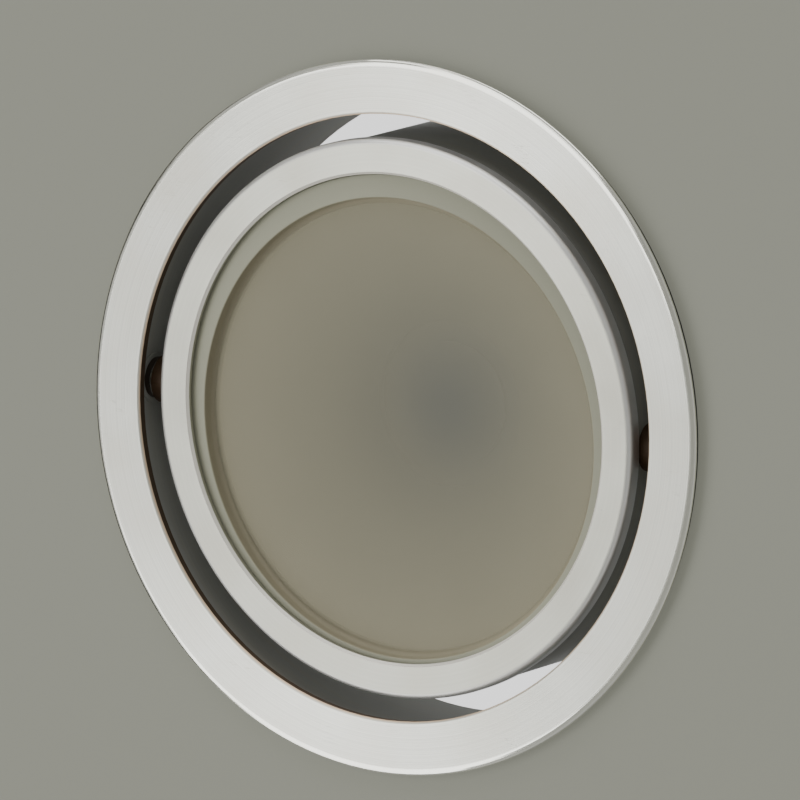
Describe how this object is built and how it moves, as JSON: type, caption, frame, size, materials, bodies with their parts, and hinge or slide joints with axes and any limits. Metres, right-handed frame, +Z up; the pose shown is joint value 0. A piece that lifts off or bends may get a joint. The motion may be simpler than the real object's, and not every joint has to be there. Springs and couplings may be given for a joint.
{
  "type": "soffit downlight",
  "caption": "Recessed round soffit downlight with a fixed trim ring and collar, a tilting lamp head on a pivot, a finned heat sink, a driver case and sprung clips.",
  "frame": {"origin": "on the collar's axis, in the plane of the soffit's underside where the flange's seal meets it", "axes": "+Z up through the cut-out into the soffit (light leaves toward -Z), +X along the tilt pivot, +Y toward the side of the head that stands recessed"},
  "size_m": [0.1556, 0.11, 0.0844],
  "materials": {
    "trim_metal": "fine turned, clear anodised",
    "head_metal": "satin anodised",
    "collar_enamel": "semi-gloss dark enamel",
    "can_enamel": "semi-gloss dark enamel",
    "foam_seal": "closed-cell foam",
    "pivot_steel": "oiled dark steel",
    "bush_bronze": "dull oiled bronze",
    "bright_steel": "bright zinc plate",
    "zinc_steel": "stamped, zinc plated",
    "spring_steel": "drawn spring wire",
    "pad_rubber": "matt moulded",
    "frosted_diffuser": "frosted, slightly translucent",
    "silicone": "soft white silicone",
    "white_reflector": "white satin",
    "emitter_face": "silicone dome",
    "board_white": "white solder mask",
    "holder_plastic": "moulded white",
    "thermal_pad": "soft grey-blue",
    "cast_sink": "cast, fine blasted",
    "case_plastic": "fine moulded grain",
    "board_green": "solder mask",
    "gland_plastic": "moulded nylon",
    "gland_rubber": "matt rubber"
  },
  "bodies": {
    "trim": {"trim_ring": "trim_metal", "collar": "collar_enamel", "flange_gasket": "foam_seal", "pivot_screws": "pivot_steel", "wave_washers": "bright_steel", "clip_bracket_a": "zinc_steel", "clip_bracket_b": "zinc_steel", "bracket_rivets": "bright_steel", "clip_pins": "bright_steel", "clip_spring_a": "spring_steel", "clip_spring_b": "spring_steel"},
    "head": {"head_ring": "head_metal", "head_can": "can_enamel", "pivot_bushes": "bush_bronze", "diffuser": "frosted_diffuser", "diffuser_gasket": "silicone", "reflector": "white_reflector", "led_emitter": "emitter_face", "led_board": "board_white", "led_holder": "holder_plastic", "led_screws": "bright_steel", "thermal_pad": "thermal_pad", "heat_sink": "cast_sink", "sink_screws": "bright_steel", "driver_case": "case_plastic", "driver_board": "board_green", "driver_lid": "case_plastic", "case_screws": "bright_steel", "gland_body": "gland_plastic", "gland_seal": "gland_rubber", "gland_nut": "gland_plastic"},
    "clip_a": {"clip_lever_a": "zinc_steel", "clip_pad_a": "pad_rubber"},
    "clip_b": {"clip_lever_b": "zinc_steel", "clip_pad_b": "pad_rubber"}
  },
  "joints": [
    {"name": "head_tilt", "type": "hinge", "parent": "trim", "child": "head", "pos_m": [0, 0, 0.0047], "axis": [1, 0, 0], "range_deg": [-20.5, 15.5]},
    {"name": "clip_a_fold", "type": "hinge", "parent": "trim", "child": "clip_a", "pos_m": [0.0458, 0, 0.031], "axis": [0, -1, 0], "range_deg": [0, 125], "stiffness_Nm_per_rad": 0.08, "springref_deg": -34.38, "deforming": ["clip_spring_a"]},
    {"name": "clip_b_fold", "type": "hinge", "parent": "trim", "child": "clip_b", "pos_m": [-0.0458, 0, 0.031], "axis": [0, 1, 0], "range_deg": [0, 125], "stiffness_Nm_per_rad": 0.08, "springref_deg": -34.38, "deforming": ["clip_spring_b"]}
  ]
}
